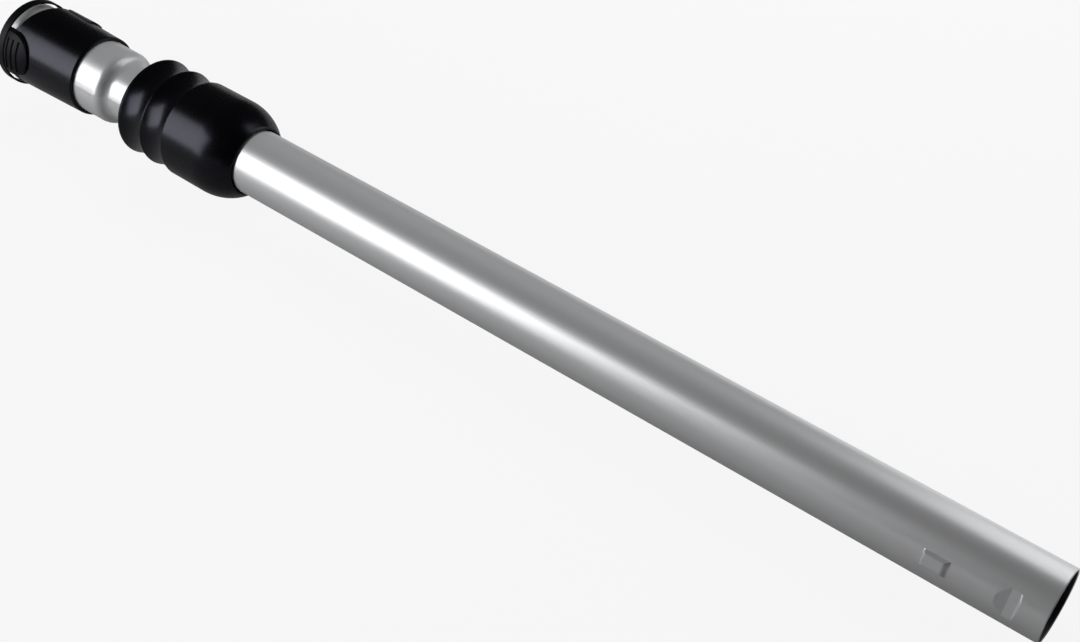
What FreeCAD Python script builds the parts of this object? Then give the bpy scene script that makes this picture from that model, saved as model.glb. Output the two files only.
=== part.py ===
"""Telescopic vacuum wand, collapsed and lying down.

The wand's axis is the X axis. The origin is the centre of the hand-grip socket's mouth, and +X runs to the
end that takes the floor tool. The thumb pad, the catch dimples and the key groove share one roll angle about
the axis: their bodies are drawn with that side up and rolled into place.
"""

import FreeCAD, Part
import math
import os
import Sketcher

doc = FreeCAD.newDocument("TelescopicWand")

# Driving sizes, in millimetres and degrees
SIZES = {
    # Whole wand
    "wand_length": 625.0,
    "feature_roll": 70.0,
    "fit_gap": 0.05,
    "slide_gap": 0.3,
    # Lower tube, its stop boss and its catch dimple
    "tube_radius": 17.5,
    "tube_wall": 0.9,
    "neck_step": 0.3,
    "neck_clear": 1.0,
    "boss_back": 54.7,
    "boss_length": 12.0,
    "boss_lead": 0.7,
    "boss_slope": 2.6,
    "boss_rise": 1.3,
    "boss_width": 6.8,
    "dimple_back": 22.3,
    "dimple_length": 9.6,
    "dimple_slope": 5.2,
    "dimple_wall": 0.6,
    "dimple_depth": 1.4,
    "dimple_width": 14.2,
    # Upper tube
    "tube_gap": 0.6,
    "slim_wall": 0.9,
    "socket_length": 72.5,
    "shoulder_length": 9.0,
    "slim_back": 69.0,
    "end_neck_length": 56.0,
    "end_neck_step": 1.1,
    "groove_width": 4.2,
    "groove_depth": 0.45,
    "groove_lead": 3.0,
    # Socket end
    "socket_fit": 0.15,
    "liner_wall": 2.1,
    "liner_length": 58.0,
    "liner_flange": 1.0,
    "seal_length": 3.0,
    "seal_gap": 0.55,
    "sleeve_short": 0.8,
    "sleeve_wall": 3.25,
    "sleeve_taper": 1.3,
    "sleeve_round": 0.8,
    "sleeve_drop": 0.6,
    "sleeve_slant": 5.2,
    "slant_turn": 30.0,
    "plate_start": 17.0,
    "plate_length": 18.0,
    "plate_rise": 1.0,
    "plate_root": 1.0,
    "plate_turn": 123.0,
    "plate_span": 24.0,
    # Release ring and thumb pad
    "ring_front": 1.8,
    "ring_width": 4.4,
    "ring_wall": 1.1,
    "ring_offset": 2.3,
    "press_travel": 2.0,
    "pad_front": 0.6,
    "pad_centre": 11.5,
    "pad_radius": 12.0,
    "pad_gap": 0.4,
    "pad_edge": 1.6,
    "pad_crown": 2.2,
    "pad_half_span": 36.0,
    "rib_first": 4.9,
    "rib_pitch": 3.87,
    "rib_width": 1.4,
    "rib_height": 0.65,
    "rib_root": 0.8,
    "rib_half_span": 21.0,
    "post_radius": 2.5,
    "post_gap": 0.4,
    "post_recess": 0.45,
    "post_root": 0.4,
    "spring_pocket_gap": 1.5,
    "spring_pocket_depth": 2.4,
    "press_wire": 0.5,
    # Release collar
    "collar_start": 98.0,
    "collar_length": 77.0,
    "collar_wall": 5.0,
    "collar_recess": 6.0,
    "recess_step": 0.45,
    "rim_round": 2.5,
    "ridge_pitch": 15.8,
    "scallop_depth": 1.6,
    "ridge_drop": 0.1,
    "ridge_round": 0.6,
    "dome_length": 20.0,
    "dome_drop": 6.6,
    "dome_lip": 1.6,
    "dome_lip_rise": 1.4,
    "dome_wall": 6.2,
    "collar_gap": 0.7,
    "cap_inset": 0.4,
    "cap_length": 3.0,
    "pull_travel": 7.0,
    "washer_thickness": 1.1,
    # Clamp
    "ball_radius": 2.0,
    "ball_gap": 0.1,
    "ball_reach": 13.0,
    "ball_edge": 4.0,
    "cage_gap": 0.4,
    "cage_wall": 3.0,
    "cone_lead": 2.0,
    "cone_clear": 0.15,
    "cone_slope": 0.0875,
    "cone_wall": 0.75,
    "cone_lip": 1.8,
    "spigot_length": 4.5,
    "spigot_radial": 3.4,
    "housing_flange": 15.0,
    "housing_stop": 5.0,
    "housing_wall": 2.4,
    "wiper_length": 3.5,
    "wiper_wall": 1.8,
    "wiper_gap": 0.1,
    "wiper_cover": 0.45,
    "key_width": 3.4,
    "key_gap": 0.2,
    "pin_radius": 1.5,
    "return_wire": 1.2,
    # Slide bearing at the slim tube's lower end
    "bush_length": 39.0,
    "bush_gap": 0.15,
    "bush_lead": 1.5,
    "lip_length": 5.5,
    "nose_length": 1.4,
}

RIB_COUNT = 4
BALL_COUNT = 6
PIN_COUNT = 2
PRESS_HALF_TURNS = 6
RETURN_HALF_TURNS = 9

sheet = doc.addObject("Spreadsheet::Sheet", "Sizes")
for row, (alias, number) in enumerate(SIZES.items(), start=1):
    sheet.set(f"A{row}", alias)
    sheet.set(f"B{row}", str(number))
    sheet.setAlias(f"B{row}", alias)
doc.recompute()


class Size:
    """A length together with the sheet expression that drives it."""

    def __init__(self, value, text):
        self.value = value
        self.text = text

    def __add__(self, other):
        return joined(self, "+", as_size(other), self.value + as_size(other).value)

    def __sub__(self, other):
        return joined(self, "-", as_size(other), self.value - as_size(other).value)

    def __mul__(self, other):
        return joined(self, "*", as_size(other), self.value * as_size(other).value)

    def __truediv__(self, other):
        return joined(self, "/", as_size(other), self.value / as_size(other).value)

    def __neg__(self):
        return Size(-self.value, f"(0 - {self.text})")

    def root(self):
        return Size(math.sqrt(self.value), f"sqrt({self.text})")


def as_size(number):
    return number if isinstance(number, Size) else Size(float(number), repr(float(number)))


def joined(left, sign, right, value):
    return Size(value, f"({left.text} {sign} {right.text})")


def size(alias):
    return Size(float(sheet.get(alias)), f"Sizes.{alias}")


def arc_radius(chord, sag):
    """Radius of the arc that rises by sag over a chord."""
    return (chord * chord / 4 + sag * sag) / (sag * 2)


# Radii that follow from the tube
tube_radius = size("tube_radius")
fit_gap = size("fit_gap")
slide_gap = size("slide_gap")
tube_bore = tube_radius - size("tube_wall")
neck_radius = tube_radius - size("neck_step")
slim_radius = tube_bore - size("tube_gap")
slim_bore = slim_radius - size("slim_wall")
end_neck = slim_radius - size("end_neck_step")
end_bore = end_neck - size("slim_wall")
socket_bore = tube_radius + size("socket_fit")
liner_radius = socket_bore + size("liner_wall")
socket_inside = liner_radius + fit_gap
socket_radius = socket_inside + size("slim_wall")

# Places along the tubes, the collar and the clamp inside it
slim_end = size("wand_length") - size("slim_back")
collar_start = size("collar_start")
collar_end = collar_start + size("collar_length")
collar_face = collar_end - size("dome_wall")
recess_end = collar_start + size("collar_recess")
pull_travel = size("pull_travel")
ball_station = recess_end + size("ball_reach")
ball_orbit = slim_radius + size("ball_gap") + size("ball_radius")
cone_middle = ball_orbit + size("ball_radius") + size("cone_clear")
cone_wide = cone_middle + pull_travel * size("cone_slope")
cone_narrow = cone_middle - pull_travel * size("cone_slope")
cone_start = ball_station - pull_travel
cone_end = ball_station + pull_travel
cone_outside = cone_wide + size("cone_wall")
spigot_front = cone_end + size("cone_lip") + fit_gap
flange_front = spigot_front + size("spigot_length")
flange_rear = flange_front + size("housing_flange")
tube_top = flange_front + size("housing_stop")
spigot_radius = slim_radius + size("spigot_radial")
housing_bore = slim_radius + slide_gap
housing_sleeve = neck_radius + fit_gap + size("housing_wall")
washer_rear = collar_face - fit_gap
washer_front = washer_rear - size("washer_thickness")
housing_end = washer_front - pull_travel - size("neck_clear")
collar_inside = cone_outside + slide_gap
collar_recess_radius = collar_inside + size("recess_step")
collar_radius = collar_inside + size("collar_wall")
collar_bore = tube_radius + size("collar_gap")
cage_inside = slim_radius + size("cage_gap")
cage_outside = cage_inside + size("cage_wall")

# Places on the socket end
ring_rear = size("ring_front") + size("ring_width")
ring_inside = socket_radius + slide_gap + size("ring_offset")
ring_outside = ring_inside + size("ring_wall")
pad_under = socket_radius + slide_gap + size("press_travel")
pad_rim = pad_under + size("pad_edge")
pad_end = size("pad_centre") + size("pad_radius")
pad_chord = pad_end - size("pad_front")
pad_arc = arc_radius(pad_chord, size("pad_crown"))
pad_middle = size("pad_front") + pad_chord / 2
post_hole = size("post_radius") + size("post_gap")
post_tip = socket_bore + size("post_recess")
spring_pocket_top = pad_under + size("spring_pocket_depth")
sleeve_inside = socket_radius + fit_gap
sleeve_radius = sleeve_inside + size("sleeve_wall")
sleeve_far_radius = sleeve_radius - size("sleeve_taper")
sleeve_front = ring_rear + slide_gap + size("sleeve_slant")

# Well past the model on any side, for cuts that go right through
BEYOND = collar_radius * 2


def origin_feature(body, role):
    return next(feature for feature in body.Origin.OriginFeatures if feature.Role == role)


def new_body(label, rolled=True):
    body = doc.addObject("PartDesign::Body", label)
    body.Label = label
    if rolled:
        body.Placement = FreeCAD.Placement(FreeCAD.Vector(), FreeCAD.Rotation(FreeCAD.Vector(1, 0, 0), 1))
        body.setExpression("Placement.Rotation.Angle", "Sizes.feature_roll")
    return body


def new_sketch(body, name, role, lift=None, turn=None):
    """Sketch on one of the body's origin planes, lifted along its normal or turned about its own x axis."""
    sketch = body.newObject("Sketcher::SketchObject", name)
    sketch.AttachmentSupport = (origin_feature(body, role), [""])
    sketch.MapMode = "FlatFace"
    if lift is not None:
        sketch.setExpression("AttachmentOffset.Base.z", lift.text)
    if turn is not None:
        sketch.AttachmentOffset = FreeCAD.Placement(
            FreeCAD.Vector(), FreeCAD.Rotation(FreeCAD.Vector(1, 0, 0), turn.value)
        )
        sketch.setExpression("AttachmentOffset.Rotation.Angle", turn.text)
    return sketch


def bind(sketch, constraint, amount):
    index = sketch.addConstraint(constraint)
    sketch.setExpression(f"Constraints[{index}]", amount.text)


def place_point(sketch, edge, end, across, up):
    """Tie a point to the sketch origin by its two coordinates."""
    for kind, amount, axis in (("DistanceX", across, -2), ("DistanceY", up, -1)):
        if amount.value == 0:
            sketch.addConstraint(Sketcher.Constraint("PointOnObject", edge, end, axis))
        elif amount.value > 0:
            bind(sketch, Sketcher.Constraint(kind, -1, 1, edge, end, amount.value), amount)
        else:
            bind(sketch, Sketcher.Constraint(kind, edge, end, -1, 1, -amount.value), -amount)


def arc_edge(first, last, radius, turn):
    """Short arc between two points: turn 1 runs counter-clockwise, -1 clockwise."""
    run = last - first
    half = run.Length / 2
    left = FreeCAD.Vector(-run.y, run.x, 0) / run.Length
    centre = (first + last) / 2 + left * turn * math.sqrt(max(radius * radius - half * half, 0))
    begin, finish = (first, last) if turn > 0 else (last, first)
    angles = [math.atan2(point.y - centre.y, point.x - centre.x) for point in (begin, finish)]
    if angles[1] < angles[0]:
        angles[1] += 2 * math.pi
    return Part.ArcOfCircle(Part.Circle(centre, FreeCAD.Vector(0, 0, 1), radius), angles[0], angles[1])


def draw_outline(sketch, corners):
    """Closed outline. A corner is (x, y), reached by a straight run, or (x, y, radius, turn), by an arc."""
    corners = [tuple(as_size(value) for value in corner[:3]) + corner[3:] for corner in corners]
    points = [FreeCAD.Vector(corner[0].value, corner[1].value, 0) for corner in corners]
    first_edge = sketch.GeometryCount
    ends = []
    for index, corner in enumerate(corners):
        start = points[index - 1]
        if len(corner) == 4:
            edge = sketch.addGeometry(arc_edge(start, points[index], corner[2].value, corner[3]), False)
            ends.append((1, 2) if corner[3] > 0 else (2, 1))
        else:
            edge = sketch.addGeometry(Part.LineSegment(start, points[index]), False)
            ends.append((1, 2))
    for index, corner in enumerate(corners):
        edge = first_edge + index
        following = (index + 1) % len(corners)
        sketch.addConstraint(
            Sketcher.Constraint(
                "Coincident", edge, ends[index][1], first_edge + following, ends[following][0]
            )
        )
        place_point(sketch, edge, ends[index][1], corner[0], corner[1])
        if len(corner) == 4:
            bind(sketch, Sketcher.Constraint("Radius", edge, corner[2].value), corner[2])


def draw_circle(sketch, across, up, radius):
    across = as_size(across)
    up = as_size(up)
    centre = FreeCAD.Vector(across.value, up.value, 0)
    edge = sketch.addGeometry(Part.Circle(centre, FreeCAD.Vector(0, 0, 1), radius.value), False)
    place_point(sketch, edge, 3, across, up)
    bind(sketch, Sketcher.Constraint("Radius", edge, radius.value), radius)


def turn_about_axis(body, name, corners, kind="PartDesign::Revolution"):
    """Full turn of a lengthwise section, corners given as (place along the wand, radius)."""
    sketch = new_sketch(body, name + "_section", "XZ_Plane")
    draw_outline(sketch, corners)
    feature = body.newObject(kind, name)
    feature.Profile = sketch
    feature.ReferenceAxis = (sketch, ["H_Axis"])
    feature.Angle = 360
    return feature


def turned_piece(label, corners, rolled=False):
    body = new_body(label, rolled)
    turn_about_axis(body, label + "_turn", corners)
    return body


def ring_corners(start, end, inside, outside):
    return [(start, inside), (start, outside), (end, outside), (end, inside)]


def cut_upward(body, name, sketch):
    """Cut from the sketch out through the side that is up."""
    pocket = body.newObject("PartDesign::Pocket", name)
    pocket.Profile = sketch
    pocket.Type = "ThroughAll"
    pocket.Reversed = True
    return pocket


def across_feature(body, kind, name, corners, width, turn=None):
    """Pad or pocket of a lengthwise outline, spread evenly to both sides."""
    sketch = new_sketch(body, name + "_outline", "XZ_Plane", turn=turn)
    draw_outline(sketch, corners)
    feature = body.newObject(kind, name)
    feature.Profile = sketch
    feature.SideType = "Symmetric"
    feature.setExpression("Length", width.text)
    return feature


def group(label, members):
    """Like pieces that share one node."""
    compound = doc.addObject("Part::Compound", label)
    compound.Label = label
    compound.Links = members
    return compound


def coil_spring(label, coil_radius, wire, half_turns, length):
    """Coil along its own Z axis, from the ground plane up, in half turns that each lie in a tilted plane."""
    wire_radius = wire / 2
    rise = (length - wire) / half_turns
    climb = rise / 2
    halves = []
    for index in range(half_turns):
        half = doc.addObject("Part::Torus", f"{label}_half_{index + 1}")
        half.Angle3 = 180
        half.Placement.Rotation = FreeCAD.Rotation(180 * (index % 2), 1, 0)
        half.setExpression("Radius1", (coil_radius * coil_radius + climb * climb).root().text)
        half.setExpression("Radius2", wire_radius.text)
        half.setExpression("Placement.Base.z", (wire_radius + climb + rise * index).text)
        half.setExpression("Placement.Rotation.Pitch", f"atan({(climb / coil_radius).text})")
        halves.append(half)
    spring = doc.addObject("Part::MultiFuse", label)
    spring.Label = label
    spring.Shapes = halves
    return spring


def around_axis(station, orbit, angle):
    """Point at an angle from the rolled side, as sheet-driven coordinates."""
    turn = f"(Sizes.feature_roll + {angle})"
    return {
        "x": station.text,
        "y": f"0 - {orbit.text} * sin({turn})",
        "z": f"{orbit.text} * cos({turn})",
    }


def set_place(piece, coordinates):
    for axis, text in coordinates.items():
        piece.setExpression(f"Placement.Base.{axis}", text)


def make_inner_tube():
    """Upper tube: wide socket, S-shaped shoulder, slim run and necked end."""
    body = new_body("inner_tube")
    start = size("liner_flange")
    bend = size("socket_length")
    shoulder = size("shoulder_length")
    drop = socket_radius - slim_radius
    bend_radius = (shoulder * shoulder + drop * drop) / (drop * 4)
    middle = bend + shoulder / 2
    shoulder_end = bend + shoulder
    neck_start = slim_end - size("end_neck_length")
    neck_run = size("end_neck_step")
    inner_drop = socket_inside - slim_bore
    inner_bend = (shoulder * shoulder + inner_drop * inner_drop) / (inner_drop * 4)
    turn_about_axis(body, "inner_tube_turn", [
        (start, socket_inside),
        (start, socket_radius),
        (bend, socket_radius),
        (middle, (socket_radius + slim_radius) / 2, bend_radius, -1),
        (shoulder_end, slim_radius, bend_radius, 1),
        (neck_start, slim_radius),
        (neck_start + neck_run, end_neck),
        (slim_end, end_neck),
        (slim_end, end_bore),
        (neck_start, end_bore),
        (neck_start - neck_run, slim_bore),
        (shoulder_end, slim_bore),
        (middle, (socket_inside + slim_bore) / 2, inner_bend, -1),
        (bend, socket_inside, inner_bend, 1),
    ])
    groove = new_sketch(body, "key_groove_outline", "XY_Plane", lift=size("groove_depth") - slim_radius)
    lead = size("groove_lead")
    half = size("groove_width") / 2
    draw_outline(groove, [
        (shoulder_end + lead, -half),
        (neck_start + neck_run, -half),
        (neck_start + neck_run, half),
        (shoulder_end + lead, half),
    ])
    pocket = body.newObject("PartDesign::Pocket", "key_groove")
    pocket.Profile = groove
    pocket.Type = "ThroughAll"
    hole = new_sketch(body, "tube_post_hole_outline", "XY_Plane")
    draw_circle(hole, pad_middle, 0, post_hole)
    cut_upward(body, "tube_post_hole", hole)
    return body


def make_socket_liner():
    """Lining of the socket, flush with the tube's mouth."""
    body = new_body("socket_liner")
    flange = size("liner_flange") - fit_gap
    turn_about_axis(body, "socket_liner_turn", [
        (0, socket_bore),
        (0, socket_radius),
        (flange, socket_radius),
        (flange, liner_radius),
        (size("liner_length"), liner_radius),
        (size("liner_length"), socket_bore),
    ])
    hole = new_sketch(body, "liner_post_hole_outline", "XY_Plane")
    draw_circle(hole, pad_middle, 0, post_hole)
    cut_upward(body, "liner_post_hole", hole)
    return body


def make_socket_seal():
    start = size("liner_length") + fit_gap
    return turned_piece(
        "socket_seal",
        ring_corners(start, start + size("seal_length"), socket_bore + size("seal_gap"), liner_radius),
    )


def make_socket_sleeve():
    """Tapered sleeve with a slanted front edge, a D-shaped cut-out and raised plates on its flanks."""
    body = new_body("socket_sleeve")
    end = size("liner_length") - size("sleeve_short")
    rounding = size("sleeve_round")
    drop = size("sleeve_drop")
    end_arc = (rounding * rounding + drop * drop) / (drop * 2)
    turn_about_axis(body, "socket_sleeve_turn", [
        (ring_rear, sleeve_inside),
        (ring_rear, sleeve_radius),
        (end - rounding, sleeve_far_radius),
        (end, sleeve_far_radius - drop, end_arc, -1),
        (end, sleeve_inside),
    ])
    plate_start = size("plate_start")
    plate_end = plate_start + size("plate_length")
    plate_top = sleeve_radius - size("sleeve_taper") / 2 + size("plate_rise")
    plate_foot = sleeve_far_radius - size("plate_root")
    for side, turn in (("near", size("plate_turn")), ("far", -size("plate_turn"))):
        section = new_sketch(body, f"{side}_plate_section", "XZ_Plane", turn=turn)
        draw_outline(section, ring_corners(plate_start, plate_end, plate_foot, plate_top))
        plate = body.newObject("PartDesign::Revolution", f"{side}_plate")
        plate.Profile = section
        plate.ReferenceAxis = (section, ["H_Axis"])
        plate.Midplane = True
        plate.setExpression("Angle", size("plate_span").text)
    slant = size("sleeve_slant")
    reach = sleeve_radius * 2
    across_feature(body, "PartDesign::Pocket", "slanted_front", [
        (sleeve_front - slant * 2, reach),
        (-BEYOND, reach),
        (-BEYOND, -reach),
        (sleeve_front + slant * 2, -reach),
    ], BEYOND * 2, size("slant_turn"))
    cut_radius = size("pad_radius") + size("pad_gap")
    cutout = new_sketch(body, "pad_cutout_outline", "XY_Plane")
    draw_outline(cutout, [
        (-BEYOND, -cut_radius),
        (size("pad_centre"), -cut_radius),
        (pad_end + size("pad_gap"), 0, cut_radius, 1),
        (size("pad_centre"), cut_radius, cut_radius, 1),
        (-BEYOND, cut_radius),
    ])
    cut_upward(body, "pad_cutout", cutout)
    return body


def make_release_ring():
    """Eccentric ring, ribbed thumb pad and pusher post in one moulding.

    The pad's sections turn about the ring's own centre line, which lies off the wand's axis by the offset.
    """
    body = new_body("release_ring")
    offset = size("ring_offset")
    front = size("pad_front")

    def turn_sector(name, sections, half_span):
        sketch = new_sketch(body, name + "_section", "XZ_Plane")
        for corners in sections:
            draw_outline(sketch, corners)
        near = FreeCAD.Vector(0, offset.value, 0)
        far = FreeCAD.Vector(pad_end.value, offset.value, 0)
        line = sketch.addGeometry(Part.LineSegment(near, far), True)
        place_point(sketch, line, 1, as_size(0), offset)
        place_point(sketch, line, 2, pad_end, offset)
        sector = body.newObject("PartDesign::Revolution", name)
        sector.Profile = sketch
        sector.ReferenceAxis = (sketch, ["Axis0"])
        sector.Midplane = True
        sector.setExpression("Angle", (half_span * 2).text)
        return sector

    turn_sector("thumb_pad", [[
        (front, pad_under),
        (front, pad_rim),
        (pad_end, pad_rim, pad_arc, -1),
        (pad_end, pad_under),
    ]], size("pad_half_span"))

    radius = size("pad_radius")
    centre = size("pad_centre")
    corners = new_sketch(body, "pad_corners_outline", "XY_Plane")
    draw_outline(corners, [
        (-BEYOND, -radius),
        (centre, -radius),
        (pad_end, 0, radius, 1),
        (centre, radius, radius, 1),
        (-BEYOND, radius),
        (-BEYOND, BEYOND),
        (BEYOND, BEYOND),
        (BEYOND, -BEYOND),
        (-BEYOND, -BEYOND),
    ])
    cut_upward(body, "pad_corners", corners)

    ribs = []
    for index in range(RIB_COUNT):
        middle = size("rib_first") + size("rib_pitch") * index
        aside = middle - pad_middle
        crest = pad_rim + size("pad_crown") - pad_arc + (pad_arc * pad_arc - aside * aside).root()
        half = size("rib_width") / 2
        crown = arc_radius(size("rib_width"), size("rib_height"))
        ribs.append([
            (middle - half, crest - size("rib_root")),
            (middle - half, crest),
            (middle + half, crest, crown, -1),
            (middle + half, crest - size("rib_root")),
        ])
    turn_sector("pad_ribs", ribs, size("rib_half_span"))

    spring_pocket = new_sketch(body, "spring_pocket_outline", "XY_Plane")
    draw_circle(spring_pocket, pad_middle, 0, size("post_radius") + size("spring_pocket_gap"))
    pocket = body.newObject("PartDesign::Pocket", "spring_pocket")
    pocket.Profile = spring_pocket
    pocket.Reversed = True
    pocket.setExpression("Length", spring_pocket_top.text)

    post = new_sketch(body, "pusher_post_outline", "XY_Plane", lift=post_tip)
    draw_circle(post, pad_middle, 0, size("post_radius"))
    post_pad = body.newObject("PartDesign::Pad", "pusher_post")
    post_pad.Profile = post
    post_pad.setExpression("Length", (spring_pocket_top - post_tip + size("post_root")).text)

    ring = new_sketch(body, "ring_outline", "YZ_Plane", lift=size("ring_front"))
    draw_circle(ring, 0, offset, ring_outside)
    draw_circle(ring, 0, offset, ring_inside)
    ring_pad = body.newObject("PartDesign::Pad", "ring_band")
    ring_pad.Profile = ring
    ring_pad.setExpression("Length", size("ring_width").text)
    return body


def make_button_spring():
    """Coil round the post, between the tube and the pad."""
    seat = socket_radius + fit_gap
    wire = size("press_wire")
    coil_radius = size("post_radius") + size("spring_pocket_gap") / 2
    length = spring_pocket_top - fit_gap - seat
    spring = coil_spring("button_spring", coil_radius, wire, PRESS_HALF_TURNS, length)
    spring.Placement.Rotation = FreeCAD.Rotation(FreeCAD.Vector(1, 0, 0), 1)
    spring.setExpression("Placement.Rotation.Angle", "Sizes.feature_roll")
    set_place(spring, around_axis(pad_middle, seat, 0))
    return spring


def make_outer_tube():
    """Lower tube, necked under the collar, with a pressed-out stop boss and a pressed-in catch dimple."""
    body = new_body("outer_tube")
    end = size("wand_length")
    neck_end = collar_end + size("neck_clear")
    turn_about_axis(body, "outer_tube_turn", [
        (tube_top + fit_gap, tube_bore),
        (tube_top + fit_gap, neck_radius),
        (neck_end - size("neck_step"), neck_radius),
        (neck_end, tube_radius),
        (end, tube_radius),
        (end, tube_bore),
    ])
    wall = size("tube_wall")
    inside_top = tube_radius - wall / 2
    dimple_start = end - size("dimple_back")
    dimple_low = dimple_start + size("dimple_slope")
    dimple_foot = dimple_start + size("dimple_length")
    dimple_end = dimple_foot + size("dimple_wall")
    dimple_floor = tube_radius - size("dimple_depth")
    across_feature(body, "PartDesign::Pad", "dimple_back", [
        (dimple_start, inside_top),
        (dimple_start, tube_bore),
        (dimple_low, dimple_floor - wall),
        (dimple_end + wall, dimple_floor - wall),
        (dimple_end + wall, inside_top),
    ], size("dimple_width") + wall * 2)
    turn_about_axis(
        body,
        "trim_to_tube",
        ring_corners(dimple_start - wall * 2, dimple_end + wall * 2, tube_radius, BEYOND),
        "PartDesign::Groove",
    )
    across_feature(body, "PartDesign::Pocket", "dimple", [
        (dimple_start, BEYOND),
        (dimple_start, tube_radius),
        (dimple_low, dimple_floor),
        (dimple_foot, dimple_floor),
        (dimple_end, tube_radius),
        (dimple_end, BEYOND),
    ], size("dimple_width"))
    boss_start = end - size("boss_back")
    boss_end = boss_start + size("boss_length")
    boss_low = boss_end - size("boss_slope")
    boss_top = tube_radius + size("boss_rise")
    boss_under = tube_bore - wall
    across_feature(body, "PartDesign::Pad", "stop_boss", [
        (boss_start, inside_top - wall / 2),
        (boss_start, tube_radius),
        (boss_start + size("boss_lead"), boss_top),
        (boss_low, boss_top),
        (boss_end, tube_radius),
        (boss_end, inside_top - wall / 2),
    ], size("boss_width"))
    across_feature(body, "PartDesign::Pocket", "stop_boss_hollow", [
        (boss_start + wall, boss_under),
        (boss_start + wall, tube_bore),
        (boss_start + size("boss_lead") + wall, boss_top - wall),
        (boss_low - wall, boss_top - wall),
        (boss_end - wall * 2, tube_bore),
        (boss_end - wall * 2, boss_under),
    ], size("boss_width") - wall * 2)
    holes = new_sketch(body, "tube_pin_holes_outline", "XZ_Plane")
    draw_circle(holes, pin_station(), 0, size("pin_radius") + fit_gap)
    drill = body.newObject("PartDesign::Pocket", "tube_pin_holes")
    drill.Profile = holes
    drill.SideType = "Symmetric"
    drill.setExpression("Length", BEYOND.text)
    return body


def pin_station():
    return (flange_rear + housing_end) / 2


def make_lock_housing():
    """Plastic housing on the lower tube's end: spigot, flange, tube sleeve, wiper seat and key."""
    body = new_body("lock_housing")
    wiper_seat = slim_radius + size("wiper_wall") + fit_gap
    wiper_floor = spigot_front + size("wiper_length") + fit_gap
    tube_seat = neck_radius + fit_gap
    turn_about_axis(body, "lock_housing_turn", [
        (spigot_front, wiper_seat),
        (spigot_front, spigot_radius),
        (flange_front, spigot_radius),
        (flange_front, cone_outside),
        (flange_rear, cone_outside),
        (flange_rear, housing_sleeve),
        (housing_end, housing_sleeve),
        (housing_end, tube_seat),
        (tube_top, tube_seat),
        (tube_top, housing_bore),
        (wiper_floor, housing_bore),
        (wiper_floor, wiper_seat),
    ])
    key_root = housing_bore + slide_gap
    key_tip = slim_radius - size("groove_depth") + size("key_gap")
    half = size("key_width") / 2
    key = new_sketch(body, "key_outline", "XY_Plane", lift=-key_root)
    draw_outline(key, [
        (flange_front, -half),
        (tube_top, -half),
        (tube_top, half),
        (flange_front, half),
    ])
    key_pad = body.newObject("PartDesign::Pad", "key")
    key_pad.Profile = key
    key_pad.setExpression("Length", (key_root - key_tip).text)
    holes = new_sketch(body, "housing_pin_holes_outline", "XZ_Plane")
    draw_circle(holes, pin_station(), 0, size("pin_radius") + fit_gap)
    drill = body.newObject("PartDesign::Pocket", "housing_pin_holes")
    drill.Profile = holes
    drill.SideType = "Symmetric"
    drill.setExpression("Length", BEYOND.text)
    return body


def make_housing_pins():
    """Pins across the housing and the tube's wall."""
    pins = []
    inner_end = tube_bore + size("neck_step") / 2
    length = housing_sleeve - inner_end - fit_gap
    for index in range(PIN_COUNT):
        angle = 90 + 360 * index / PIN_COUNT
        pin = doc.addObject("Part::Cylinder", f"housing_pin_{index + 1}")
        pin.setExpression("Radius", "Sizes.pin_radius")
        pin.setExpression("Height", length.text)
        pin.Placement.Rotation = FreeCAD.Rotation(FreeCAD.Vector(1, 0, 0), 1)
        pin.setExpression("Placement.Rotation.Angle", f"Sizes.feature_roll + {angle}")
        set_place(pin, around_axis(pin_station(), inner_end, angle))
        pins.append(pin)
    return group("housing_pins", pins)


def make_wiper_ring():
    start = spigot_front + fit_gap
    return turned_piece("wiper_ring", ring_corners(
        start,
        start + size("wiper_length") - fit_gap,
        slim_radius + size("wiper_gap"),
        slim_radius + size("wiper_wall"),
    ))


def make_clamp_cone():
    """Steel ring: the balls' cone, a lip over the wiper and a seat on the housing's spigot."""
    lip = slim_radius + size("wiper_wall") - size("wiper_cover")
    return turned_piece("clamp_cone", [
        (recess_end + size("cone_lead"), cone_wide),
        (recess_end + size("cone_lead"), cone_outside),
        (flange_front - fit_gap, cone_outside),
        (flange_front - fit_gap, spigot_radius + fit_gap),
        (spigot_front - fit_gap, spigot_radius + fit_gap),
        (spigot_front - fit_gap, lip),
        (cone_end, lip),
        (cone_end, cone_narrow),
        (cone_start, cone_wide),
    ])


def make_return_spring():
    """Coil that pushes the collar back towards the floor end."""
    start = flange_rear + fit_gap
    wire = size("return_wire")
    coil_radius = (housing_sleeve + collar_inside) / 2
    length = washer_front - fit_gap - start
    spring = coil_spring("return_spring", coil_radius, wire, RETURN_HALF_TURNS, length)
    spring.Placement.Rotation = FreeCAD.Rotation(FreeCAD.Vector(0, 1, 0), 90)
    spring.setExpression("Placement.Base.x", start.text)
    return spring


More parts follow.
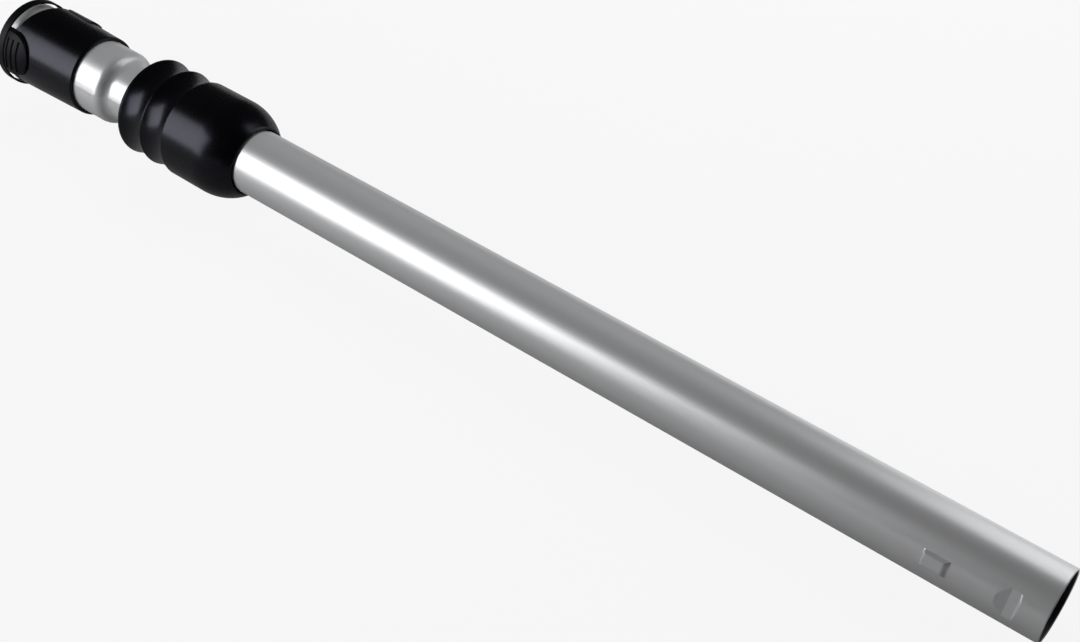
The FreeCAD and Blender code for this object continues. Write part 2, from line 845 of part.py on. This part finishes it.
def make_collar_shell():
    """Hand collar: two finger scallops between ridges, a plain grip and a domed end round the tube."""
    ridge = collar_radius - size("ridge_drop")
    first_ridge = collar_start + size("rim_round")
    second_ridge = first_ridge + size("ridge_pitch")
    grip_start = second_ridge + size("ridge_pitch")
    dome_start = collar_end - size("dome_length")
    dome_end = collar_end - size("dome_lip")
    dome_run = size("dome_length") - size("dome_lip")
    dome_drop = size("dome_drop")
    dome_arc = (dome_run * dome_run + dome_drop * dome_drop) / (dome_drop * 2)
    scallop = arc_radius(size("ridge_pitch"), size("scallop_depth"))
    lip_radius = tube_radius + size("dome_lip_rise")
    body = turned_piece("collar_shell", [
        (collar_start, collar_recess_radius),
        (collar_start, ridge - size("rim_round")),
        (first_ridge, ridge, size("rim_round"), -1),
        (second_ridge, ridge, scallop, 1),
        (grip_start, ridge, scallop, 1),
        (dome_start, collar_radius),
        (dome_end, collar_radius - dome_drop, dome_arc, -1),
        (collar_end, lip_radius, size("dome_drop"), -1),
        (collar_end, collar_bore),
        (collar_face, collar_bore),
        (collar_face, collar_inside),
        (recess_end, collar_inside),
        (recess_end, collar_recess_radius),
    ])
    doc.recompute()
    turn = body.Tip
    ridges = [
        f"Edge{number}"
        for number, edge in enumerate(turn.Shape.Edges, start=1)
        if is_ridge(edge, ridge.value, (second_ridge.value, grip_start.value))
    ]
    rounding = body.newObject("PartDesign::Fillet", "ridge_rounding")
    rounding.Base = (turn, ridges)
    rounding.setExpression("Radius", "Sizes.ridge_round")
    return body


def is_ridge(edge, radius, stations):
    """True for a circle of the given radius about the wand's axis at one of the stations."""
    curve = edge.Curve
    if not isinstance(curve, Part.Circle):
        return False
    near = min(abs(curve.Center.x - station) for station in stations)
    return abs(curve.Radius - radius) < 1e-4 and near < 1e-4


def make_collar_cap():
    start = collar_start + size("cap_inset")
    return turned_piece("collar_cap", ring_corners(
        start,
        start + size("cap_length"),
        cage_inside,
        collar_recess_radius - fit_gap,
    ))


def make_ball_cage():
    """Cage that carries the balls, held in the collar's recess by its flange."""
    body = new_body("ball_cage")
    start = collar_start + size("cap_inset") + size("cap_length") + fit_gap
    flange_end = recess_end - fit_gap
    cage_end = ball_station + size("ball_edge")
    turn_about_axis(body, "ball_cage_turn", [
        (start, cage_inside),
        (start, collar_recess_radius - fit_gap),
        (flange_end, collar_recess_radius - fit_gap),
        (flange_end, cage_outside),
        (cage_end, cage_outside),
        (cage_end, cage_inside),
    ])
    window = new_sketch(body, "ball_window_outline", "XY_Plane")
    draw_circle(window, ball_station, 0, size("ball_radius") + size("ball_gap"))
    pocket = cut_upward(body, "ball_window", window)
    doc.recompute()
    windows = body.newObject("PartDesign::PolarPattern", "ball_windows")
    windows.Originals = [pocket]
    windows.Axis = (origin_feature(body, "X_Axis"), [""])
    windows.Angle = 360
    windows.Occurrences = BALL_COUNT
    body.Tip = windows
    return body


def make_clamp_balls():
    balls = []
    for index in range(BALL_COUNT):
        ball = doc.addObject("Part::Sphere", f"clamp_ball_{index + 1}")
        ball.setExpression("Radius", "Sizes.ball_radius")
        set_place(ball, around_axis(ball_station, ball_orbit, 360 * index / BALL_COUNT))
        balls.append(ball)
    return group("clamp_balls", balls)


def make_spring_washer():
    return turned_piece("spring_washer", ring_corners(
        washer_front,
        washer_rear,
        collar_bore,
        collar_inside - slide_gap,
    ))


def bearing_pieces():
    """Bush, lip seal and nose ring on the slim tube's necked end."""
    inside = end_neck + fit_gap
    outside = tube_bore - size("bush_gap")
    bush_start = slim_end - size("end_neck_length") + size("bush_lead")
    bush_end = bush_start + size("bush_length")
    lip_end = bush_end + size("lip_length")
    nose_end = slim_end + size("nose_length")
    bush = turned_piece("guide_bush", ring_corners(bush_start, bush_end, inside, outside))
    seal_start = bush_end + fit_gap
    lip_middle = (seal_start + lip_end) / 2
    seal = turned_piece("slide_seal", [
        (seal_start, inside),
        (seal_start, outside - fit_gap),
        (lip_middle, outside - slide_gap),
        (lip_end, outside - fit_gap),
        (lip_end, inside),
    ])
    nose = turned_piece("end_ring", [
        (lip_end + fit_gap, inside),
        (lip_end + fit_gap, outside),
        (slim_end, outside),
        (nose_end, outside - size("nose_length"), size("nose_length"), -1),
        (nose_end, end_bore),
        (slim_end + fit_gap, end_bore),
        (slim_end + fit_gap, inside),
    ])
    return [bush, seal, nose]


def make_all():
    pieces = [
        make_inner_tube(),
        make_socket_liner(),
        make_socket_seal(),
        make_socket_sleeve(),
        make_release_ring(),
        make_button_spring(),
        make_outer_tube(),
        make_lock_housing(),
        make_housing_pins(),
        make_wiper_ring(),
        make_clamp_cone(),
        make_return_spring(),
        make_collar_shell(),
        make_collar_cap(),
        make_ball_cage(),
        make_clamp_balls(),
        make_spring_washer(),
    ]
    return pieces + bearing_pieces()


pieces = make_all()
doc.recompute()
for item in doc.Objects:
    if {"Invalid", "Error"} & set(item.State):
        raise RuntimeError(f"{item.Label} failed: {item.State}")
for piece in pieces:
    if piece.Shape.isNull() or not piece.Shape.isValid():
        raise RuntimeError(f"{piece.Label} has no valid shape")

os.makedirs("parts", exist_ok=True)
for piece in pieces:
    piece.Shape.exportStep(f"parts/{piece.Label}.step")
    print(piece.Label, len(piece.Shape.Solids), round(piece.Shape.Volume, 1))
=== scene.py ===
"""Looks of the telescopic vacuum wand: materials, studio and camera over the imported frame."""

import math

import bpy
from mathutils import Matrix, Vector


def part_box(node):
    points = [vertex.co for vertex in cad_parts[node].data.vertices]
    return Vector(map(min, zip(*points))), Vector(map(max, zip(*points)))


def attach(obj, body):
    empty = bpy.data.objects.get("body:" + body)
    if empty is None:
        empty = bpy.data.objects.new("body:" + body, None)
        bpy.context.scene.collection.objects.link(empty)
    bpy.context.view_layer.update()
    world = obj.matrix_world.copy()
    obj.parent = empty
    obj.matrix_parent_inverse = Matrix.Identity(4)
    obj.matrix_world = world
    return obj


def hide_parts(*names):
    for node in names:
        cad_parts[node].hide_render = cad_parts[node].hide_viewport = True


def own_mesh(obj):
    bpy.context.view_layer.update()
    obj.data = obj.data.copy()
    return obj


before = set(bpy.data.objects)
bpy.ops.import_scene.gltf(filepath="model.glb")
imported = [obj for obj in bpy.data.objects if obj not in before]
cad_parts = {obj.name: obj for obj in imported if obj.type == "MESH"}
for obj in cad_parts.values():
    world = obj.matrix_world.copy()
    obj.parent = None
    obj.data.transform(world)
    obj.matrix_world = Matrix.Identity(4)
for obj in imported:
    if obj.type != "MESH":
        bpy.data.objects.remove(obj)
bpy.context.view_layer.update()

# The photograph's camera: sensor and lens in millimetres, then metres and degrees
SENSOR_WIDTH = 36.0
LENS = 53.83
CAMERA_PLACE = Vector((0.6820, -0.4185, 0.5507))
CAMERA_AZIMUTH = 37.5
CAMERA_ELEVATION = 46.31
CLIP_START = 0.01

# Lower tube, with the thumb pad's roll about the axis from upright towards the camera
PAD_ROLL = math.radians(70.0)
TUBE_WALL = 0.0009
NECK_DROP = 0.0003
NECK_END = 0.1760
RIM_EASE = 0.00035

# Pressed features of the lower tube: where each starts, is full, starts to end and is gone
BOSS_STATIONS = (0.5703, 0.5711, 0.5797, 0.5823)
BOSS_RISE = 0.0013
BOSS_TOP_HALF = 0.0027
BOSS_FOOT_HALF = 0.0041
DIMPLE_STATIONS = (0.6027, 0.6079, 0.6121, 0.6130)
DIMPLE_DEPTH = 0.0014
DIMPLE_HALF = 0.0071
DIMPLE_SIDE_EASE = 0.0008
DIMPLE_EDGE_EASE = 0.00012

# Mesh of the lower tube: fine steps over the features and a margin round them, plain steps elsewhere
FEATURE_MARGIN = 0.0016
FEATURE_STEP = 0.00025
PLAIN_STEP = 0.018
PLAIN_ANGLE = math.radians(4.0)

# Coil springs: wire thickness, number of turns and steps of the mesh
RETURN_WIRE = 0.0012
RETURN_TURNS = 4.5
PRESS_WIRE = 0.0005
PRESS_TURNS = 3.0
TURN_STEPS = 32
WIRE_SIDES = 10

# Materials: detail of the noises, the part of their range that is used, and the grain's bump
BROAD_DETAIL = 4.0
FINE_DETAIL = 2.0
NOISE_MIDDLE = (0.25, 0.75)
COLOUR_STOPS = (0.3, 0.7)
GRAIN_STRENGTH = 0.25
WHITE = (1.0, 1.0, 1.0, 1.0)

# Studio: the floor's glow for the camera and in mirrors, and where on the floor the mirrored glow rises
FLOOR_SIZE = 8.0
FLOOR_COLOUR = (0.30, 0.30, 0.30, 1.0)
FLOOR_GLOW = 0.90
FLOOR_MIRRORED = 0.08
FLOOR_MIRRORED_BEHIND = 1.0
BRIGHT_ALONG = (-0.06, 0.44)
BRIGHT_BEHIND = (-0.01, 0.05)
WORLD_FILL = 0.035
BACKDROP_GLOW = 0.905


def add_object(name, data):
    """New object in the scene's collection."""
    made = bpy.data.objects.new(name, data)
    bpy.context.collection.objects.link(made)
    return made


def stretched_noise(tree, scale, stretch, detail):
    """Noise in the object's own metres, drawn out along the wand by the stretch."""
    place = tree.nodes.new("ShaderNodeTexCoord")
    mapping = tree.nodes.new("ShaderNodeMapping")
    mapping.inputs["Scale"].default_value = (1.0 / stretch, 1.0, 1.0)
    noise = tree.nodes.new("ShaderNodeTexNoise")
    noise.inputs["Scale"].default_value = scale
    noise.inputs["Detail"].default_value = detail
    tree.links.new(place.outputs["Object"], mapping.inputs["Vector"])
    tree.links.new(mapping.outputs["Vector"], noise.inputs["Vector"])
    return noise.outputs["Fac"]


def spread(tree, source, low, high, limits=NOISE_MIDDLE, interpolation="LINEAR"):
    """Map a source on to a range, by default a noise's middle half."""
    ramp = tree.nodes.new("ShaderNodeMapRange")
    ramp.interpolation_type = interpolation
    ramp.inputs["From Min"].default_value = limits[0]
    ramp.inputs["From Max"].default_value = limits[1]
    ramp.inputs["To Min"].default_value = low
    ramp.inputs["To Max"].default_value = high
    tree.links.new(source, ramp.inputs["Value"])
    return ramp.outputs["Result"]


def tinted(tree, source, colours):
    """Colour that goes from the first to the second of two as the source rises."""
    ramp = tree.nodes.new("ShaderNodeValToRGB")
    for element, stop, colour in zip(ramp.color_ramp.elements, COLOUR_STOPS, colours):
        element.position = stop
        element.color = (*colour, 1.0)
    tree.links.new(source, ramp.inputs["Fac"])
    return ramp.outputs["Color"]


def combined(tree, operation, first, second):
    """Math of a socket with another socket or with a number."""
    math_node = tree.nodes.new("ShaderNodeMath")
    math_node.operation = operation
    tree.links.new(first, math_node.inputs[0])
    if isinstance(second, float):
        math_node.inputs[1].default_value = second
    else:
        tree.links.new(second, math_node.inputs[1])
    return math_node.outputs["Value"]


def surface(
    name, colours, rough, grain, grain_depth, stretch=1.0, mottle=60.0, metallic=0.0, specular=0.5,
    tint=WHITE, edge=0.0003,
):
    """Material with mottled colour, a fine grain in roughness and bump, and softened edges."""
    material = bpy.data.materials.new(name)
    material.use_nodes = True
    tree = material.node_tree
    shader = tree.nodes["Principled BSDF"]
    shader.inputs["Metallic"].default_value = metallic
    shader.inputs["Specular IOR Level"].default_value = specular
    shader.inputs["Specular Tint"].default_value = tint
    broad = stretched_noise(tree, mottle, stretch, BROAD_DETAIL)
    fine = stretched_noise(tree, grain, stretch, FINE_DETAIL)
    tree.links.new(tinted(tree, broad, colours), shader.inputs["Base Color"])
    tree.links.new(spread(tree, fine, *rough), shader.inputs["Roughness"])
    bump = tree.nodes.new("ShaderNodeBump")
    bump.inputs["Strength"].default_value = GRAIN_STRENGTH
    bump.inputs["Distance"].default_value = grain_depth
    tree.links.new(fine, bump.inputs["Height"])
    soft_edge = tree.nodes.new("ShaderNodeBevel")
    soft_edge.inputs["Radius"].default_value = edge
    tree.links.new(soft_edge.outputs["Normal"], bump.inputs["Normal"])
    tree.links.new(bump.outputs["Normal"], shader.inputs["Normal"])
    return material


# One finish for each material slot of the CAD nodes, and two more: painted shade for the bore, and the
# release ring's
MATERIALS = {
    "tube_aluminium": surface(
        "satin_aluminium", colours=((0.54, 0.545, 0.555), (0.57, 0.575, 0.585)), rough=(0.34, 0.38),
        grain=4000.0, grain_depth=0.0000004, stretch=40.0, mottle=40.0, metallic=0.60,
    ),
    # Bore of the aluminium tube, darkened to near black: painted shade inside the tube
    "tube_bore": surface(
        "painted_shade_bore", colours=((0.05, 0.05, 0.055), (0.07, 0.07, 0.075)), rough=(0.50, 0.60),
        grain=2500.0, grain_depth=0.000004, stretch=20.0, metallic=0.60,
    ),
    "black_plastic": surface(
        "moulded_black", colours=((0.0008, 0.0008, 0.0011), (0.0014, 0.0014, 0.0018)), rough=(0.23, 0.29),
        grain=1800.0, grain_depth=0.00001, specular=0.25, tint=(0.78, 0.80, 1.0, 1.0), edge=0.0005,
    ),
    "ring_plastic": surface(
        "matte_black", colours=((0.0012, 0.0012, 0.0014), (0.0020, 0.0020, 0.0023)), rough=(0.42, 0.52),
        grain=1800.0, grain_depth=0.00002, specular=0.14, tint=(0.85, 0.87, 1.0, 1.0), edge=0.0005,
    ),
    "liner_plastic": surface(
        "liner_black", colours=((0.010, 0.010, 0.011), (0.014, 0.014, 0.015)), rough=(0.40, 0.52),
        grain=1500.0, grain_depth=0.00003,
    ),
    "housing_plastic": surface(
        "housing_grey", colours=((0.05, 0.05, 0.052), (0.06, 0.06, 0.062)), rough=(0.42, 0.54),
        grain=1500.0, grain_depth=0.00003,
    ),
    "bush_plastic": surface(
        "bush_natural", colours=((0.62, 0.61, 0.57), (0.66, 0.65, 0.61)), rough=(0.40, 0.50),
        grain=1500.0, grain_depth=0.00003,
    ),
    "seal_rubber": surface(
        "seal_black", colours=((0.012, 0.012, 0.012), (0.018, 0.018, 0.018)), rough=(0.60, 0.75),
        grain=1200.0, grain_depth=0.00005,
    ),
    "wiper_felt": surface(
        "felt_grey", colours=((0.16, 0.155, 0.15), (0.24, 0.235, 0.23)), rough=(0.85, 0.98),
        grain=2600.0, grain_depth=0.0002,
    ),
    "clamp_steel": surface(
        "ground_steel", colours=((0.48, 0.48, 0.49), (0.54, 0.54, 0.55)), rough=(0.22, 0.32),
        grain=1200.0, grain_depth=0.00002, metallic=1.0,
    ),
    "spring_steel": surface(
        "spring_wire", colours=((0.40, 0.40, 0.41), (0.46, 0.46, 0.47)), rough=(0.25, 0.36),
        grain=1500.0, grain_depth=0.00002, metallic=1.0,
    ),
}

NODE_FINISHES = {"release_ring": "ring_plastic"}


def dress_nodes():
    """Give every CAD node the finish of its own material slot, or the one that is named for it."""
    for name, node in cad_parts.items():
        for slot in node.material_slots:
            slot.material = MATERIALS[NODE_FINISHES.get(name, slot.name)]


def share(value, start, end):
    """How far a value is from start to end, held between 0 and 1."""
    return min(max((value - start) / (end - start), 0.0), 1.0)


def eased(part):
    """Smooth step of a share: level at 0 and at 1."""
    return part * part * (3.0 - 2.0 * part)


def raised(x, across, height, radius):
    """Height of the tube's wall above the axis, with the flat-topped boss pressed out of it."""
    start, full, ending, gone = BOSS_STATIONS
    part = min(
        share(x, start, full),
        share(x, gone, ending),
        share(abs(across), BOSS_FOOT_HALF, BOSS_TOP_HALF),
    )
    return height + (radius + BOSS_RISE - height) * eased(part)


def sunken(x, across, height, radius):
    """Height of the tube's wall above the axis, with the ramped dimple pressed into it."""
    start, full, ending, gone = DIMPLE_STATIONS
    depth = DIMPLE_DEPTH * min(share(x, start, full), share(x, gone, ending))
    side = DIMPLE_SIDE_EASE / 2
    inside = eased(share(abs(across), DIMPLE_HALF + side, DIMPLE_HALF - side))
    proud = height - (radius - depth)
    sunk = (proud + math.hypot(proud, DIMPLE_EDGE_EASE)) / 2
    return height - sunk * inside * eased(share(depth, 0.0, DIMPLE_EDGE_EASE * 2))


def ladder(start, end, step):
    """Even stops from start towards end, without the end itself."""
    count = max(1, math.ceil((end - start) / step))
    return [start + (end - start) * index / count for index in range(count)]


def tube_stops(start, end):
    """Stops along the tube, close together over the boss and the dimple and at both ends only."""
    stops = [start]
    start += FEATURE_STEP
    for stations in (BOSS_STATIONS, DIMPLE_STATIONS):
        first = stations[0] - FEATURE_MARGIN
        last = stations[-1] + FEATURE_MARGIN
        stops += ladder(start, first, PLAIN_STEP) + ladder(first, last, FEATURE_STEP)
        start = last
    return stops + ladder(start, end - FEATURE_STEP, PLAIN_STEP) + [end - FEATURE_STEP, end]


def tube_angles(radius):
    """Angles from the thumb pad's direction, close together over the boss and the dimple only."""
    fine = (DIMPLE_HALF + FEATURE_MARGIN) / radius
    return ladder(-fine, fine, FEATURE_STEP / radius) + ladder(fine, 2 * math.pi - fine, PLAIN_ANGLE)


def tube_profile(start, rim, radius):
    """Stop and radius of each ring once round the tube's wall, and how many come before the bore."""
    bore = radius - TUBE_WALL
    neck = radius - NECK_DROP
    slope = RIM_EASE * (1.0 - math.sqrt(0.5))
    outside = tube_stops(NECK_END, rim - RIM_EASE)
    inside = tube_stops(start, rim - RIM_EASE)
    profile = [(start, neck), (NECK_END - NECK_DROP, neck)]
    profile += [(x, radius) for x in outside]
    profile += [(rim - slope, radius - slope), (rim, radius - RIM_EASE), (rim, bore + RIM_EASE)]
    before_bore = len(profile)
    profile += [(x, bore) for x in reversed(inside)]
    return profile, before_bore


def on_tube(x, radius, angle):
    """Point of the tube's wall at an angle from the thumb pad's direction."""
    across = radius * math.sin(angle)
    height = radius * math.cos(angle)
    if height > 0.0:
        height = raised(x, across, height, radius)
        height = sunken(x, across, height, radius)
    side = height * math.sin(PAD_ROLL) + across * math.cos(PAD_ROLL)
    up = height * math.cos(PAD_ROLL) - across * math.sin(PAD_ROLL)
    return (x, -side, up)


def ring_faces(here, there, count):
    """Faces between two rings of points, given by the number of each ring's first point."""
    faces = []
    for index in range(count):
        following = (index + 1) % count
        faces.append((here + index, here + following, there + following, there + index))
    return faces


def make_lower_tube():
    """Drawn tube with a softly pressed boss and dimple, an eased rim and a bore painted dark as shade."""
    low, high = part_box("outer_tube")
    radius = high[1]
    profile, before_bore = tube_profile(low[0], high[0], radius)
    angles = tube_angles(radius)
    points = [on_tube(x, ring_radius, angle) for x, ring_radius in profile for angle in angles]
    faces = []
    in_bore = []
    for ring in range(len(profile)):
        following = (ring + 1) % len(profile)
        faces += ring_faces(ring * len(angles), following * len(angles), len(angles))
        in_bore += [int(before_bore <= ring < len(profile) - 1)] * len(angles)
    mesh = bpy.data.meshes.new("lower_tube_skin")
    mesh.from_pydata(points, [], faces)
    mesh.materials.append(MATERIALS["tube_aluminium"])
    # The bore's faces take the painted shade
    mesh.materials.append(MATERIALS["tube_bore"])
    mesh.polygons.foreach_set("material_index", in_bore)
    mesh.polygons.foreach_set("use_smooth", [True] * len(faces))
    mesh.update()
    tube = add_object("lower_tube_skin", mesh)
    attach(tube, "lower_tube")
    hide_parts("outer_tube")


def coil_mesh(name, base, axis, coil_radius, wire, turns, length):
    """Round wire wound along an axis from the base, with flat ends."""
    side = axis.orthogonal().normalized()
    other = axis.cross(side)
    steps = round(turns * TURN_STEPS)
    climb = (length - wire) / steps
    points = []
    for step in range(steps + 1):
        turn = 2 * math.pi * step / TURN_STEPS
        outward = side * math.cos(turn) + other * math.sin(turn)
        middle = base + axis * (wire / 2 + climb * step) + outward * coil_radius
        for index in range(WIRE_SIDES):
            angle = 2 * math.pi * index / WIRE_SIDES
            points.append(middle + (outward * math.cos(angle) + axis * math.sin(angle)) * (wire / 2))
    faces = []
    for step in range(steps):
        here = step * WIRE_SIDES
        faces += ring_faces(here, here + WIRE_SIDES, WIRE_SIDES)
    sides = len(faces)
    last = steps * WIRE_SIDES
    faces.append(tuple(reversed(range(WIRE_SIDES))))
    faces.append(tuple(range(last, last + WIRE_SIDES)))
    mesh = bpy.data.meshes.new(name)
    mesh.from_pydata(points, [], faces)
    mesh.polygons.foreach_set("use_smooth", [index < sides for index in range(len(faces))])
    mesh.update()
    return mesh


def make_spring(node_name, body, axis, wire, turns):
    """Wound spring in the place of its CAD node."""
    low, high = (Vector(corner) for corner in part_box(node_name))
    middle = (low + high) / 2
    corners = [vertex.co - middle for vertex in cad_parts[node_name].data.vertices]
    heights = [corner.dot(axis) for corner in corners]
    outer = max((corner - axis * corner.dot(axis)).length for corner in corners)
    base = middle + axis * min(heights)
    length = max(heights) - min(heights)
    mesh = coil_mesh(f"{node_name}_coil", base, axis, outer - wire / 2, wire, turns, length)
    mesh.materials.append(MATERIALS["spring_steel"])
    spring = add_object(f"{node_name}_coil", mesh)
    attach(spring, body)
    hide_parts(node_name)
    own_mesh(spring)


def make_springs():
    """The collar's spring lies along the wand, and the release ring's under its thumb pad."""
    along = Vector((1.0, 0.0, 0.0))
    pad_side = Vector((0.0, -math.sin(PAD_ROLL), math.cos(PAD_ROLL)))
    make_spring("return_spring", "lower_tube", along, RETURN_WIRE, RETURN_TURNS)
    make_spring("button_spring", "upper_tube", pad_side, PRESS_WIRE, PRESS_TURNS)


def bright_behind(tree):
    """Glow of the floor in mirrors: low in front, rising behind the wand and towards its lower tube."""
    place = tree.nodes.new("ShaderNodeTexCoord")
    split = tree.nodes.new("ShaderNodeSeparateXYZ")
    tree.links.new(place.outputs["Object"], split.inputs["Vector"])
    along = spread(tree, split.outputs["X"], 0.0, 1.0, BRIGHT_ALONG, "SMOOTHSTEP")
    behind = spread(tree, split.outputs["Y"], 0.0, 1.0, BRIGHT_BEHIND, "SMOOTHSTEP")
    both = combined(tree, "MULTIPLY", along, behind)
    return spread(tree, both, FLOOR_MIRRORED, FLOOR_MIRRORED_BEHIND, (0.0, 1.0))


def seen_directly(tree, by_camera, in_mirror):
    """One share for camera rays, one for glossy and transmission rays, and nothing for the rest."""
    path = tree.nodes.new("ShaderNodeLightPath")
    mirror = combined(tree, "MAXIMUM", path.outputs["Is Glossy Ray"], path.outputs["Is Transmission Ray"])
    mirrored = combined(tree, "MULTIPLY", mirror, in_mirror)
    direct = combined(tree, "MULTIPLY", path.outputs["Is Camera Ray"], by_camera)
    return combined(tree, "MAXIMUM", direct, mirrored)


def soft_floor_material():
    """Pale floor, near white to the camera and brighter in mirrors behind the wand, with its shadow."""
    material = bpy.data.materials.new("pale_floor")
    material.use_nodes = True
    tree = material.node_tree
    tree.nodes.clear()
    output = tree.nodes.new("ShaderNodeOutputMaterial")
    mix = tree.nodes.new("ShaderNodeMixShader")
    diffuse = tree.nodes.new("ShaderNodeBsdfDiffuse")
    diffuse.inputs["Color"].default_value = FLOOR_COLOUR
    glow = tree.nodes.new("ShaderNodeEmission")
    tree.links.new(seen_directly(tree, FLOOR_GLOW, bright_behind(tree)), mix.inputs["Fac"])
    tree.links.new(diffuse.outputs["BSDF"], mix.inputs[1])
    tree.links.new(glow.outputs["Emission"], mix.inputs[2])
    tree.links.new(mix.outputs["Shader"], output.inputs["Surface"])
    return material


def make_floor():
    """Floor that touches the collar and the rim of the lower tube, which the wand lies on."""
    collar_low, collar_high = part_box("collar_shell")
    tube_low, tube_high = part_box("outer_tube")
    rest_collar = Vector(((collar_low[0] + collar_high[0]) / 2, 0.0, collar_low[2]))
    rest_tube = Vector((tube_high[0], 0.0, tube_low[2]))
    run = rest_tube - rest_collar
    half = FLOOR_SIZE / 2
    corners = [(-half, -half, 0), (half, -half, 0), (half, half, 0), (-half, half, 0)]
    mesh = bpy.data.meshes.new("floor")
    mesh.from_pydata(corners, [], [(0, 1, 2, 3)])
    mesh.materials.append(soft_floor_material())
    floor = add_object("floor", mesh)
    floor.rotation_euler.y = -math.atan2(run.z, run.x)
    floor.location = rest_collar


def make_world():
    """Dim fill from all round, with a near white backdrop for the camera only."""
    world = bpy.data.worlds.new("studio")
    bpy.context.scene.world = world
    world.use_nodes = True
    tree = world.node_tree
    tree.nodes.clear()
    output = tree.nodes.new("ShaderNodeOutputWorld")
    mix = tree.nodes.new("ShaderNodeMixShader")
    path = tree.nodes.new("ShaderNodeLightPath")
    tree.links.new(path.outputs["Is Camera Ray"], mix.inputs["Fac"])
    for socket, strength in ((1, WORLD_FILL), (2, BACKDROP_GLOW)):
        background = tree.nodes.new("ShaderNodeBackground")
        background.inputs["Color"].default_value = WHITE
        background.inputs["Strength"].default_value = strength
        tree.links.new(background.outputs["Background"], mix.inputs[socket])
    tree.links.new(mix.outputs["Shader"], output.inputs["Surface"])


def make_softbox(name, place, target, size, radiance):
    """Rectangular lamp facing a point, given by the radiance of its face and hidden from the camera."""
    lamp = bpy.data.lights.new(name, "AREA")
    lamp.shape = "RECTANGLE"
    lamp.size, lamp.size_y = size
    lamp.energy = radiance * math.pi * size[0] * size[1]
    softbox = add_object(name, lamp)
    softbox.location = place
    softbox.rotation_euler = (Vector(place) - Vector(target)).to_track_quat("Z", "Y").to_euler()
    softbox.visible_camera = False
    return softbox


def make_lights():
    """Large key in front, a softbox behind the near end, two fills that don't mirror, and a low card."""
    make_softbox(
        "key_softbox", place=(-0.74, -1.05, 0.66), target=(-0.01, 0.0, 0.0), size=(1.05, 1.16), radiance=5.0,
    )
    make_softbox(
        "back_softbox", place=(0.62, 0.63, 0.396), target=(0.62, 0.0, 0.0), size=(0.36, 0.83), radiance=1.9,
    )
    top_fill = make_softbox(
        "top_fill", place=(0.10, 0.53, 0.42), target=(0.15, 0.0, 0.0), size=(0.80, 0.80), radiance=2.9,
    )
    side_fill = make_softbox(
        "side_fill", place=(-0.15, -0.46, 0.08), target=(0.12, 0.0, 0.0), size=(0.50, 0.32), radiance=2.4,
    )
    for fill in (top_fill, side_fill):
        fill.visible_glossy = False
    make_softbox(
        "front_card", place=(-0.40, -1.60, 0.12), target=(-0.40, 0.0, 0.0), size=(2.60, 0.50), radiance=0.4,
    )


def make_camera():
    """Camera of the photograph, turned by its azimuth and elevation."""
    lens = bpy.data.cameras.new("camera")
    lens.sensor_fit = "HORIZONTAL"
    lens.sensor_width = SENSOR_WIDTH
    lens.lens = LENS
    lens.clip_start = CLIP_START
    camera = add_object("camera", lens)
    azimuth = math.radians(CAMERA_AZIMUTH)
    elevation = math.radians(CAMERA_ELEVATION)
    back = Vector((
        math.sin(azimuth) * math.cos(elevation),
        -math.cos(azimuth) * math.cos(elevation),
        math.sin(elevation),
    ))
    camera.rotation_euler = back.to_track_quat("Z", "Y").to_euler()
    camera.location = CAMERA_PLACE
    bpy.context.scene.camera = camera


dress_nodes()
make_lower_tube()
make_springs()
make_floor()
make_world()
make_lights()
make_camera()
bpy.context.scene.view_settings.view_transform = "Standard"
